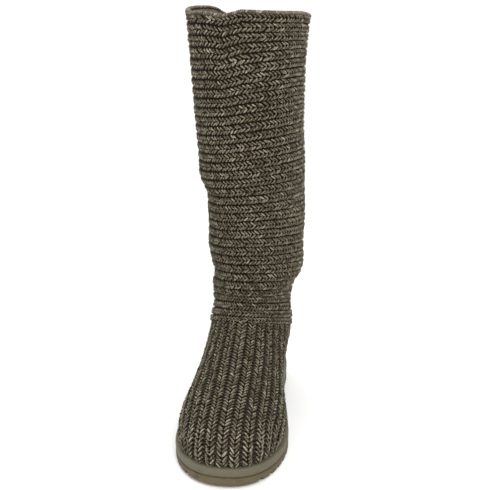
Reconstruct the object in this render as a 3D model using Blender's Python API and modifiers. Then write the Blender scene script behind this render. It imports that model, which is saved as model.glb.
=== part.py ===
"""A tall knit boot for the right foot, standing empty on its sole.

The toe points to -Y, the inner (medial) side is +X and Z is up. The origin is on the floor, below the
middle of the boot's box. Lengths are metres.

A station is a share of the sole's length, 0 at the toe and 1 at the heel. An angle goes once round the
boot, 0 at the toe, 90 degrees on the inner side and 180 degrees at the heel.
"""

import math
from collections import namedtuple

import bmesh
import bpy

# Sole
SOLE_LENGTH = 0.268
BALL_WIDTH = 0.104
FOREFOOT_THICKNESS = 0.0152
HEEL_THICKNESS = 0.0225
OUTSOLE_FOREFOOT = 0.0072
OUTSOLE_HEEL = 0.0105
TOE_SPRING = 0.0030
HEEL_BEVEL = 0.0020
ARCH_LIFT = 0.0016
TOE_INSWING = 0.0040
EDGE_ROUND = 0.0016
EDGE_MIDDLE = EDGE_ROUND / 3
GROOVE_DEPTH = 0.0011

# Stations where the sole's lower surface and its thickness change
TOE_SPRING_END_SHARE = 0.20
ARCH_RISE = (0.44, 0.52)
ARCH_FALL = (0.64, 0.70)
HEEL_BEVEL_START_SHARE = 0.90
THICKENING = (0.32, 0.72)

# Tread
LUG_PITCH = 0.0115
LUG_GAP = 0.0042
LUG_DEPTH = 0.0028
FOREFOOT_LUGS = (0.060, 0.42)
HEEL_LUGS = (0.74, 0.95)

# Knit upper
LEDGE = 0.0038
KNIT_WALL = 0.0032
SEAM_STEP = 0.0014
INSTEP_HEIGHT = 0.0975
INSTEP_REACH = 0.1385
SEAM_BACK_HEIGHT = 0.049
COLLAR_HEIGHT = 0.383
COLLAR_WIDTH = 0.116
COLLAR_DEPTH = 0.132
ANKLE_WIDTH = 0.0765
ANKLE_DEPTH = 0.109
HEEL_SWELL = 0.0030
COLLAR_WAVE = 0.0030

# Insole
INSOLE_THICKNESS = 0.0050
INSOLE_CLEARANCE = 0.0012
INSOLE_BEVEL_START = 0.7 * INSOLE_THICKNESS
INSOLE_BEVEL_WIDTH = 0.4 * INSOLE_THICKNESS

# Pieces that touch keep this gap
TOUCH_GAP = 0.0003

SOLE_SIDES = 64
UPPER_SIDES = 42
FOOT_RINGS = 15
SHAFT_RINGS = 21
SHARP_DEGREES = 35

BALL_HALF = BALL_WIDTH / 2
ANKLE_HALF = ANKLE_WIDTH / 2
COLLAR_HALF = COLLAR_WIDTH / 2

# Half widths of the sole along its length, as shares of the ball's half width
PlanRow = namedtuple("PlanRow", "station inner outer")
PLAN = (
    PlanRow(0.00, 0.96, 0.90),
    PlanRow(0.14, 0.99, 0.93),
    PlanRow(0.29, 1.00, 0.96),
    PlanRow(0.43, 0.91, 0.94),
    PlanRow(0.57, 0.78, 0.87),
    PlanRow(0.72, 0.68, 0.78),
    PlanRow(0.86, 0.66, 0.73),
    PlanRow(1.00, 0.66, 0.73),
)
TOE_ROUND_REACH = 0.30
HEEL_ROUND_REACH = 0.17
END_ROUND_POWER = 2.25

# Rings of the foot, from the sole's edge up to the ankle seam. climb and back_climb are shares of the
# way from the sole's top to the seam, at the front and at the back. reach is the share of the way from
# the toe to the instep. inner and outer are shares of the way from the ankle's width to the ball's,
# bulge the share of the heel's swelling, and plan says how far the ring keeps the outline of the sole.
FootRow = namedtuple("FootRow", "climb reach back_climb bulge inner outer plan")
FOOT = (
    FootRow(0.000, 0.000, 0.00, 0.00, 0.74, 0.74, 1.00),
    FootRow(0.085, -0.012, 0.16, 0.55, 0.82, 0.80, 1.00),
    FootRow(0.230, 0.010, 0.29, 0.90, 0.72, 0.66, 1.00),
    FootRow(0.380, 0.095, 0.41, 1.00, 0.54, 0.42, 0.97),
    FootRow(0.510, 0.260, 0.52, 1.00, 0.38, 0.20, 0.88),
    FootRow(0.630, 0.480, 0.63, 0.95, 0.30, 0.10, 0.70),
    FootRow(0.760, 0.700, 0.75, 0.90, 0.28, 0.09, 0.48),
    FootRow(0.895, 0.890, 0.88, 0.80, 0.26, 0.08, 0.27),
    FootRow(1.000, 1.000, 1.00, 0.65, 0.18, 0.07, 0.14),
)

# Rings of the shaft, from the ankle seam up to the collar. climb and back_climb are shares of the way
# from the seam to the collar, back is how far the ring's back lies before the sole's, as a share of the
# ankle's depth, and depth, inner and outer are shares of the way from the ankle's sizes to the collar's.
ShaftRow = namedtuple("ShaftRow", "climb back_climb back depth inner outer")
SHAFT = (
    ShaftRow(0.000, 0.000, 0.015, 0.78, 0.20, 0.10),
    ShaftRow(0.021, 0.036, 0.030, 0.50, 0.16, 0.01),
    ShaftRow(0.050, 0.090, 0.062, 0.18, 0.07, -0.05),
    ShaftRow(0.082, 0.142, 0.090, 0.00, 0.09, 0.00),
    ShaftRow(0.114, 0.188, 0.104, -0.07, 0.31, -0.01),
    ShaftRow(0.146, 0.232, 0.108, -0.07, 0.56, -0.03),
    ShaftRow(0.184, 0.277, 0.104, -0.03, 0.67, 0.06),
    ShaftRow(0.240, 0.334, 0.096, 0.02, 0.67, 0.17),
    ShaftRow(0.310, 0.400, 0.082, 0.12, 0.71, 0.18),
    ShaftRow(0.380, 0.462, 0.068, 0.23, 0.72, 0.25),
    ShaftRow(0.426, 0.505, 0.059, 0.32, 0.71, 0.40),
    ShaftRow(0.472, 0.545, 0.050, 0.39, 0.69, 0.56),
    ShaftRow(0.576, 0.635, 0.036, 0.54, 0.64, 0.71),
    ShaftRow(0.710, 0.749, 0.022, 0.71, 0.60, 0.86),
    ShaftRow(0.850, 0.872, 0.010, 0.87, 0.63, 1.00),
    ShaftRow(1.000, 1.000, 0.002, 1.00, 0.82, 1.16),
)

# The box's middle lies halfway between the collar's two sides, not on the sole's middle line
SOLE_SHIFT = (COLLAR_HALF - ANKLE_HALF) * (SHAFT[-1].outer - SHAFT[-1].inner) / 2

# Dips and rises of the collar's edge round the boot, as shares of the collar's wave
RimRow = namedtuple("RimRow", "degrees rise")
RIM = (
    RimRow(0, 0.50),
    RimRow(40, 0.05),
    RimRow(67, -0.20),
    RimRow(95, -1.00),
    RimRow(150, -1.40),
    RimRow(200, -1.70),
    RimRow(214, -1.10),
    RimRow(227, 0.90),
    RimRow(247, 1.35),
    RimRow(270, 1.00),
    RimRow(285, 0.50),
    RimRow(300, -0.10),
    RimRow(317, -0.05),
    RimRow(330, -0.35),
    RimRow(340, -0.95),
    RimRow(350, -0.35),
    RimRow(360, 0.50),
)
RIM_REACH = 0.20

# Shares of the foot's and the shaft's rings over which they leave the sole's top and the ankle seam
SETTLE_REACH = 0.30
SEAM_REACH = 0.16

# Ends of a ring at the front and back, its half widths on the two sides, and how far it keeps the plan
RingSizes = namedtuple("RingSizes", "front_y front_z back_y back_z inner outer plan")


def between(low, high, share):
    """The value this share of the way from low to high."""
    return low + (high - low) * share


def smoothstep(low, high, value):
    """0 below low, 1 above high and a soft S between them."""
    share = min(max((value - low) / (high - low), 0.0), 1.0)
    return share * share * (3 - 2 * share)


def along(rows, column, place):
    """Smooth curve through one column of a table whose first column is the place."""
    spots = [row[0] for row in rows]
    values = [getattr(row, column) for row in rows]
    place = min(max(place, spots[0]), spots[-1])
    steps = [(values[i + 1] - values[i]) / (spots[i + 1] - spots[i]) for i in range(len(rows) - 1)]
    slopes = [steps[0]] + [(a + b) / 2 for a, b in zip(steps, steps[1:])] + [steps[-1]]
    i = max(k for k in range(len(rows) - 1) if spots[k] <= place)
    width = spots[i + 1] - spots[i]
    t = (place - spots[i]) / width
    start = (2 * t**3 - 3 * t**2 + 1) * values[i] + (t**3 - 2 * t**2 + t) * width * slopes[i]
    end = (3 * t**2 - 2 * t**3) * values[i + 1] + (t**3 - t**2) * width * slopes[i + 1]
    return start + end


def row_at(rows, place):
    """The table's row at this place, a share of the way from its first row to its last."""
    numbered = [namedtuple("Numbered", ("number",) + row._fields)(i, *row) for i, row in enumerate(rows)]
    spot = place * (len(rows) - 1)
    return type(rows[0])(*(along(numbered, name, spot) for name in rows[0]._fields))


def end_round(share, reach):
    """Closes an outline at one end: 0 at the end and 1 from this reach on."""
    if share >= reach:
        return 1.0
    return (1 - (1 - share / reach) ** END_ROUND_POWER) ** (1 / END_ROUND_POWER)


def plan_half(angle, half, inset):
    """Signed x of the sole's outline at this angle, for this half width at the ball, less the inset."""
    station = (1 - math.cos(angle)) / 2
    side = math.sin(angle)
    width = half * along(PLAN, "inner" if side >= 0 else "outer", station) - inset
    width *= end_round(station, TOE_ROUND_REACH) * end_round(1 - station, HEEL_ROUND_REACH)
    return math.copysign(width, side)


def inswing(station):
    """How far the toe swings to the inner side at this station."""
    return TOE_INSWING * max(0.0, 1 - station / TOE_ROUND_REACH) ** 2


def toe_spring(station):
    """How far the sole lifts towards the toe at this station."""
    return TOE_SPRING * max(0.0, 1 - station / TOE_SPRING_END_SHARE) ** 2


def floor_lift(station):
    """Height of the sole's underside: toe spring, arch and heel bevel."""
    arch = ARCH_LIFT * smoothstep(*ARCH_RISE, station) * (1 - smoothstep(*ARCH_FALL, station))
    heel = HEEL_BEVEL * max(0.0, (station - HEEL_BEVEL_START_SHARE) / (1 - HEEL_BEVEL_START_SHARE)) ** 2
    return toe_spring(station) + arch + heel


def lifted(station, forefoot, heel):
    """Height of a surface of the sole that is this high at the forefoot and at the heel."""
    return toe_spring(station) + between(forefoot, heel, smoothstep(*THICKENING, station))


def split_height(station):
    """Height of the joint between outsole and midsole."""
    return lifted(station, OUTSOLE_FOREFOOT, OUTSOLE_HEEL)


def sole_top(station):
    """Height of the midsole's top."""
    return lifted(station, FOREFOOT_THICKNESS, HEEL_THICKNESS)


def sole_point(angle, inset, height):
    """Point of the sole's outline, moved in by inset, at the height that the function gives."""
    station = (1 - math.cos(angle)) / 2
    x = plan_half(angle, BALL_HALF, inset) + inswing(station)
    y = -(SOLE_LENGTH / 2 - inset) * math.cos(angle)
    return (x + SOLE_SHIFT, y, height(station))


def even_angles(count):
    """Angles of a ring's points, the first at the toe and mirrored on the two sides."""
    return [2 * math.pi * i / count for i in range(count)]


def material(name, colour, roughness):
    """A Principled material with this linear colour."""
    made = bpy.data.materials.new(name)
    made.use_nodes = True
    shader = made.node_tree.nodes["Principled BSDF"]
    shader.inputs["Base Color"].default_value = (*colour, 1.0)
    shader.inputs["Roughness"].default_value = roughness
    shader.inputs["Metallic"].default_value = 0.0
    return made


def object_from(mesh_builder, name, collection, finish):
    """An object whose mesh is a bmesh, linked to the collection and given its material."""
    mesh = bpy.data.meshes.new(name)
    bmesh.ops.recalc_face_normals(mesh_builder, faces=mesh_builder.faces)
    mesh_builder.to_mesh(mesh)
    mesh_builder.free()
    made = bpy.data.objects.new(name, mesh)
    collection.objects.link(made)
    if finish:
        mesh.materials.append(finish)
    return made


def add_rings(builder, rings):
    """Adds rings of points and the faces between each ring and the next."""
    loops = [[builder.verts.new(point) for point in ring] for ring in rings]
    for low, high in zip(loops, loops[1:]):
        for i in range(len(low)):
            j = (i + 1) % len(low)
            builder.faces.new((low[i], low[j], high[j], high[i]))
    return loops


def add_ladder(builder, loop):
    """Fills a ring with a strip of faces between its two mirrored sides."""
    count = len(loop)
    for i in range(count // 2):
        corners = [loop[i], loop[i + 1], loop[(count - i - 1) % count], loop[(count - i) % count]]
        unlike = [vert for k, vert in enumerate(corners) if vert not in corners[:k]]
        builder.faces.new(unlike)


def layer(name, steps, collection, finish):
    """A closed layer of the sole from rows of inset and height, bottom to top."""
    builder = bmesh.new()
    angles = even_angles(SOLE_SIDES)
    loops = add_rings(builder, [[sole_point(a, inset, height) for a in angles] for inset, height in steps])
    add_ladder(builder, loops[0])
    add_ladder(builder, loops[-1])
    made = object_from(builder, name, collection, finish)
    made.data.shade_smooth()
    made.data.set_sharp_from_angle(angle=math.radians(SHARP_DEGREES))
    return made


def tread_stations():
    """Stations of the grooves across the forefoot and the heel."""
    pitch = LUG_PITCH / SOLE_LENGTH
    stations = []
    for start, end in (FOREFOOT_LUGS, HEEL_LUGS):
        stations += [start + pitch * i for i in range(int((end - start) / pitch) + 1)]
    return stations


def tread_cutter(collection):
    """Blocks that cut the grooves between the lugs, each as deep as a groove."""
    builder = bmesh.new()
    for station in tread_stations():
        made = bmesh.ops.create_cube(builder, size=1.0)["verts"]
        top = floor_lift(station) + LUG_DEPTH
        bottom = -LUG_DEPTH
        bmesh.ops.scale(builder, verts=made, vec=(2 * BALL_WIDTH, LUG_GAP, top - bottom))
        place = (SOLE_SHIFT, (station - 0.5) * SOLE_LENGTH, (top + bottom) / 2)
        bmesh.ops.translate(builder, verts=made, vec=place)
    cutter = object_from(builder, "tread_cutter", collection, None)
    cutter.hide_render = True
    cutter.display_type = "WIRE"
    return cutter


def build_outsole(collection, cutters):
    """The tread layer, with a rounded lower edge and grooves across the forefoot and heel."""
    steps = [
        (EDGE_ROUND, floor_lift),
        (EDGE_MIDDLE, lambda s: floor_lift(s) + EDGE_MIDDLE),
        (0.0, lambda s: floor_lift(s) + EDGE_ROUND),
        (0.0, lambda s: split_height(s) - GROOVE_DEPTH),
        (GROOVE_DEPTH, lambda s: split_height(s) - TOUCH_GAP / 2),
    ]
    outsole = layer("outsole", steps, collection, material("tread_rubber", (0.115, 0.098, 0.060), 0.72))
    cut = outsole.modifiers.new("tread", "BOOLEAN")
    cut.operation = "DIFFERENCE"
    cut.object = tread_cutter(cutters)


def build_midsole(collection):
    """The foam layer above the tread, with a soft groove below it and a rounded ledge round the knit."""
    steps = [
        (GROOVE_DEPTH, lambda s: split_height(s) + TOUCH_GAP / 2),
        (0.0, lambda s: split_height(s) + GROOVE_DEPTH),
        (0.0, lambda s: sole_top(s) - EDGE_ROUND),
        (EDGE_MIDDLE, lambda s: sole_top(s) - EDGE_MIDDLE),
        (EDGE_ROUND, sole_top),
    ]
    layer("midsole", steps, collection, material("sole_foam", (0.155, 0.142, 0.100), 0.62))


def build_insole(collection):
    """The fleece footbed that lies on the midsole inside the knit."""
    edge = LEDGE + KNIT_WALL + INSOLE_CLEARANCE
    steps = [
        (edge, lambda s: sole_top(s) + TOUCH_GAP),
        (edge, lambda s: sole_top(s) + INSOLE_BEVEL_START),
        (edge + INSOLE_BEVEL_WIDTH, lambda s: sole_top(s) + INSOLE_THICKNESS),
    ]
    layer("insole", steps, collection, material("footbed_fleece", (0.62, 0.53, 0.38), 0.95))


def ring_sizes_of_foot(place):
    """Sizes of the foot's ring at this share of the way from the sole's edge to the ankle seam."""
    row = row_at(FOOT, place)
    return RingSizes(
        front_y=-SOLE_LENGTH / 2 + between(LEDGE, INSTEP_REACH, row.reach),
        front_z=between(sole_top(0) + TOUCH_GAP, INSTEP_HEIGHT, row.climb),
        back_y=SOLE_LENGTH / 2 - LEDGE + HEEL_SWELL * row.bulge,
        back_z=between(sole_top(1) + TOUCH_GAP, SEAM_BACK_HEIGHT, row.back_climb),
        inner=between(ANKLE_HALF, BALL_HALF, row.inner),
        outer=between(ANKLE_HALF, BALL_HALF, row.outer),
        plan=row.plan,
    )


def ring_sizes_of_shaft(place):
    """Sizes of the shaft's ring at this share of the way from the ankle seam to the collar.

    The lowest ring stands out from the foot's last one by the seam's step.
    """
    row = row_at(SHAFT, place)
    back_y = SOLE_LENGTH / 2 - row.back * ANKLE_DEPTH
    own = RingSizes(
        front_y=back_y - between(ANKLE_DEPTH, COLLAR_DEPTH, row.depth),
        front_z=between(INSTEP_HEIGHT, COLLAR_HEIGHT, row.climb),
        back_y=back_y,
        back_z=between(SEAM_BACK_HEIGHT, COLLAR_HEIGHT, row.back_climb),
        inner=between(ANKLE_HALF, COLLAR_HALF, row.inner),
        outer=between(ANKLE_HALF, COLLAR_HALF, row.outer),
        plan=0.0,
    )
    foot = ring_sizes_of_foot(1.0)
    lapped = RingSizes(
        front_y=foot.front_y - SEAM_STEP,
        front_z=own.front_z,
        back_y=foot.back_y + SEAM_STEP,
        back_z=own.back_z,
        inner=foot.inner + SEAM_STEP,
        outer=foot.outer + SEAM_STEP,
        plan=foot.plan,
    )
    free = smoothstep(0.0, SEAM_REACH, place)
    return RingSizes(*(between(low, high, free) for low, high in zip(lapped, own)))


def ring(sizes, angles):
    """Points of a ring: an ellipse, or as far as plan says the outline of the sole."""
    points = []
    for angle in angles:
        station = (1 - math.cos(angle)) / 2
        half = sizes.inner if math.sin(angle) >= 0 else sizes.outer
        x = between(half * math.sin(angle), plan_half(angle, half, 0.0), sizes.plan)
        x += SOLE_SHIFT + inswing(station) * sizes.plan
        y = between(sizes.front_y, sizes.back_y, station)
        points.append((x, y, between(sizes.front_z, sizes.back_z, station)))
    return points


def foot_ring(place, angles):
    """Ring of the foot. The lowest rings follow the sole's top, which isn't one plane."""
    blend = max(0.0, 1 - place / SETTLE_REACH)
    points = []
    for angle, (x, y, z) in zip(angles, ring(ring_sizes_of_foot(place), angles)):
        station = (1 - math.cos(angle)) / 2
        plane = between(sole_top(0), sole_top(1), station)
        points.append((x, y, z + (sole_top(station) - plane) * blend))
    return points


def shaft_ring(place, angles):
    """Ring of the shaft. The topmost rings take up the waves of the collar's edge."""
    wave = COLLAR_WAVE * smoothstep(1 - RIM_REACH, 1.0, place)
    points = ring(ring_sizes_of_shaft(place), angles)
    waves = [wave * along(RIM, "rise", math.degrees(angle)) for angle in angles]
    return [(x, y, z + rise) for (x, y, z), rise in zip(points, waves)]


def build_upper(collection):
    """The knit upper: one wall, open at the collar and underneath, with a step where the shaft laps
    the foot."""
    angles = even_angles(UPPER_SIDES)
    foot = [foot_ring(i / (FOOT_RINGS - 1), angles) for i in range(FOOT_RINGS)]
    shaft = [shaft_ring(i / (SHAFT_RINGS - 1), angles) for i in range(SHAFT_RINGS)]
    builder = bmesh.new()
    add_rings(builder, foot + shaft)
    upper = object_from(builder, "upper", collection, material("wool_knit", (0.150, 0.128, 0.090), 0.93))
    upper.data.shade_smooth()
    wall = upper.modifiers.new("wall", "SOLIDIFY")
    wall.thickness = KNIT_WALL
    wall.offset = -1
    wall.use_even_offset = True
    wall.use_rim = True


def main():
    for old in list(bpy.data.objects):
        bpy.data.objects.remove(old)
    boot = bpy.data.collections.new("knit_boot")
    cutters = bpy.data.collections.new("cutters")
    for made in (boot, cutters):
        bpy.context.scene.collection.children.link(made)
    build_outsole(boot, cutters)
    build_midsole(boot)
    build_insole(boot)
    build_upper(boot)


main()
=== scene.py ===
"""The tall knit boot as it looks: chunky heather wool in raised rows of stitches on a low foam sole.

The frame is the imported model's: metres, Z up, the toe to -Y, the inner side to +X. An angle goes once round
the boot: 0 at the toe, 90 degrees on the inner side, 180 degrees at the heel.
"""

import logging
import math
from dataclasses import dataclass, field
from enum import Enum
from typing import Callable, NamedTuple, Sequence

import bpy
import numpy as np
from numpy.typing import NDArray
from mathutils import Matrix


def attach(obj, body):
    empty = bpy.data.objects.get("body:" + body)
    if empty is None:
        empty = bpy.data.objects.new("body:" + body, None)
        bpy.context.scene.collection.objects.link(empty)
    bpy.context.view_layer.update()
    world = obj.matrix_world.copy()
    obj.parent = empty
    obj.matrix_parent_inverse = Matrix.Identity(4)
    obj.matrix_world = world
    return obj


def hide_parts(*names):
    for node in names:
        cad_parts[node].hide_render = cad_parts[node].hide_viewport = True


Array = NDArray[np.float64]
Pair = tuple[float, float]
Surface = Callable[[Array, Array], Array]
Height = Callable[[Array], Array]
Node = bpy.types.ShaderNode
Tree = bpy.types.NodeTree
Material = bpy.types.Material
Piece = bpy.types.Object
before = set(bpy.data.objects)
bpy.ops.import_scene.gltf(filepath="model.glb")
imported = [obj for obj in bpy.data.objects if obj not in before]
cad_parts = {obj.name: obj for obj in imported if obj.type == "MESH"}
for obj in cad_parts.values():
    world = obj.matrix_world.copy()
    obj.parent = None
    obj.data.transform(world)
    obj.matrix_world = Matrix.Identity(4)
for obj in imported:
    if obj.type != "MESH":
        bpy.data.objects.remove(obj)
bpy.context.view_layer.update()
log = logging.getLogger("knit_boot")


class PlanRow(NamedTuple):
    """Half widths of the sole at a station, as shares of the ball's half width."""

    station: float
    inner: float
    outer: float


class FootRow(NamedTuple):
    """A ring of the foot, in shares of the way from the sole's edge to the ankle seam."""

    climb: float
    reach: float
    back_climb: float
    bulge: float
    inner: float
    outer: float
    plan: float


class ShaftRow(NamedTuple):
    """A ring of the shaft, in shares of the way from the ankle seam to the collar."""

    climb: float
    back_climb: float
    back: float
    depth: float
    inner: float
    outer: float


def table(kind: type, *rows: tuple[float, ...]) -> tuple:
    """A table's rows from their plain numbers."""
    return tuple(kind(*row) for row in rows)


def pairs(*rows: tuple[float, float]) -> tuple[Array, Array]:
    """Rising places and the values there."""
    places, values = np.array(rows, float).T
    return places, values


PLAN = table(
    PlanRow,
    (0.00, 0.96, 0.90), (0.14, 0.99, 0.93), (0.29, 1.00, 0.96), (0.43, 0.91, 0.94),
    (0.57, 0.78, 0.87), (0.72, 0.68, 0.78), (0.86, 0.66, 0.73), (1.00, 0.66, 0.73),
)
FOOT = table(
    FootRow,
    (0.000, 0.000, 0.00, 0.00, 0.74, 0.74, 1.00),
    (0.085, -0.012, 0.16, 0.55, 0.82, 0.80, 1.00),
    (0.230, 0.010, 0.29, 0.90, 0.72, 0.66, 1.00),
    (0.380, 0.095, 0.41, 1.00, 0.54, 0.42, 0.97),
    (0.510, 0.260, 0.52, 1.00, 0.38, 0.20, 0.88),
    (0.630, 0.480, 0.63, 0.95, 0.30, 0.10, 0.70),
    (0.760, 0.700, 0.75, 0.90, 0.28, 0.09, 0.48),
    (0.895, 0.890, 0.88, 0.80, 0.26, 0.08, 0.27),
    (1.000, 1.000, 1.00, 0.65, 0.18, 0.07, 0.14),
)
SHAFT = table(
    ShaftRow,
    (0.000, 0.000, 0.015, 0.78, 0.20, 0.10),
    (0.021, 0.036, 0.030, 0.50, 0.16, 0.01),
    (0.050, 0.090, 0.062, 0.18, 0.07, -0.05),
    (0.082, 0.142, 0.090, 0.00, 0.09, 0.00),
    (0.114, 0.188, 0.104, -0.07, 0.31, -0.01),
    (0.146, 0.232, 0.108, -0.07, 0.56, -0.03),
    (0.184, 0.277, 0.104, -0.03, 0.67, 0.06),
    (0.240, 0.334, 0.096, 0.02, 0.67, 0.17),
    (0.310, 0.400, 0.082, 0.12, 0.71, 0.18),
    (0.380, 0.462, 0.068, 0.23, 0.72, 0.25),
    (0.426, 0.505, 0.059, 0.32, 0.71, 0.40),
    (0.472, 0.545, 0.050, 0.39, 0.69, 0.56),
    (0.576, 0.635, 0.036, 0.54, 0.64, 0.71),
    (0.710, 0.749, 0.022, 0.71, 0.60, 0.86),
    (0.850, 0.872, 0.010, 0.87, 0.63, 1.00),
    (1.000, 1.000, 0.002, 1.00, 0.82, 1.16),
)
# Rise of the collar's edge, as a share of the collar's wave, at angles in degrees.
RIM = pairs(
    (0, 0.50), (40, 0.05), (67, -0.20), (95, -1.00), (150, -1.40), (200, -1.70),
    (214, -1.10), (227, 0.90), (247, 1.35), (270, 1.00), (285, 0.50), (300, -0.10),
    (317, -0.05), (330, -0.35), (340, -0.95), (350, -0.35), (360, 0.50),
)
# Share of the shaft's height that lies below a share of its rows of knitting.
COURSES = pairs(
    (0.000, 0.000), (0.086, 0.056), (0.143, 0.099), (0.271, 0.229), (0.526, 0.498), (1.000, 1.000),
)
# Width of a rib of the foot at a share of the way from the toe to the instep.
RIBS = pairs(
    (0.00, 0.0106), (0.50, 0.0110), (0.80, 0.0107), (1.00, 0.0102), (1.95, 0.0100),
)


def between(low: Array | float, high: Array | float, share: Array | float) -> Array | float:
    """The value this share of the way from low to high."""
    return low + (high - low) * share


def smoothstep(low: float, high: float, value: Array | float) -> Array:
    """0 below low, 1 above high and a soft S between them."""
    share = np.clip((np.asarray(value, float) - low) / (high - low), 0.0, 1.0)
    return share * share * (3 - 2 * share)


def plateau(rise: Pair, fall: Pair, value: Array) -> Array:
    """1 between a soft rise and a soft fall, and 0 outside them."""
    return smoothstep(*rise, value) * (1 - smoothstep(*fall, value))


def hermite(spots: Array, values: Array, place: Array | float) -> Array:
    """Smooth curve through values at spots: a cubic with the mean of the neighbouring slopes at each spot.

    Args:
        spots: rising places of the values.
        values: the values there.
        place: where the curve is wanted.

    Returns:
        The curve's values, shaped as place.
    """
    place = np.clip(np.asarray(place, float), spots[0], spots[-1])
    steps = np.diff(values) / np.diff(spots)
    slopes = np.concatenate(([steps[0]], (steps[1:] + steps[:-1]) / 2, [steps[-1]]))
    i = np.clip(np.searchsorted(spots, place, side="right") - 1, 0, len(spots) - 2)
    width = spots[i + 1] - spots[i]
    t = (place - spots[i]) / width
    start = (2 * t**3 - 3 * t**2 + 1) * values[i] + (t**3 - 2 * t**2 + t) * width * slopes[i]
    return start + (3 * t**2 - 2 * t**3) * values[i + 1] + (t**3 - t**2) * width * slopes[i + 1]


def row_at(rows: Sequence[NamedTuple], share: Array | float) -> NamedTuple:
    """The row at a share of the way from a table's first row to its last, each column a smooth curve."""
    numbers, share = np.arange(len(rows), dtype=float), np.asarray(share, float) * (len(rows) - 1)
    return type(rows[0])(*(hermite(numbers, np.array(column, float), share) for column in zip(*rows)))


def strayed(pair: Pair, stray: Array) -> Array:
    """A pair's mean, with single values that stray from it."""
    return pair[0] + pair[1] * stray


def paired(angle: Array | float, place: Array | float) -> Sequence[Array]:
    """Angle and place as arrays of one shape."""
    return np.broadcast_arrays(np.asarray(angle, float), np.asarray(place, float))


def arc_length(points: Array) -> Array:
    """The way along a curve to each of its points."""
    return np.concatenate(([0.0], np.cumsum(np.linalg.norm(np.diff(points, axis=0), axis=1))))


def read_off(stops: Array, run: Array, columns: Sequence[Array]) -> Array:
    """Values of the columns at stops along a run, stacked on a last axis."""
    return np.stack([np.interp(stops, run, column) for column in columns], axis=-1)


def unit(vectors: Array) -> Array:
    """The vectors at length 1."""
    return vectors / np.maximum(np.linalg.norm(vectors, axis=-1, keepdims=True), 1e-12)


def moved(point: Array, *moves: tuple[Array, Array]) -> Array:
    """Points shifted along directions, with new axes for the further axes of the offsets.

    Args:
        point: the starting points, (n, 3).
        moves: pairs of an offset, (n, ...) or its last axis alone, and a direction at each point, (n, 3).

    Returns:
        The shifted points, (n, ..., 3).
    """
    spread = (len(point), *([1] * (max(offset.ndim for offset, _ in moves) - 1)), 3)
    result = point.reshape(spread)
    for offset, way in moves:
        result = result + offset[..., None] * way.reshape(spread)
    return result


def linear(code: str) -> tuple[float, float, float, float]:
    """Turns an sRGB hex colour into the linear RGBA that shaders take.

    Args:
        code: the colour as "#rrggbb".

    Returns:
        Its linear channels, with an alpha of 1.
    """
    parts = [int(code.lstrip("#")[i : i + 2], 16) / 255 for i in (0, 2, 4)]
    r, g, b = (c / 12.92 if c <= 0.04045 else ((c + 0.055) / 1.055) ** 2.4 for c in parts)
    return (r, g, b, 1.0)


class Part(Enum):
    """The two parts of the upper that have rings of their own."""

    FOOT = "foot"
    SHAFT = "shaft"


@dataclass(frozen=True)
class Fold:
    """A soft trough of the knit, or a ridge where its depth is below zero."""

    degrees: float
    height: float
    spread: float
    breadth: float
    slope: float
    depth: float


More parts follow.
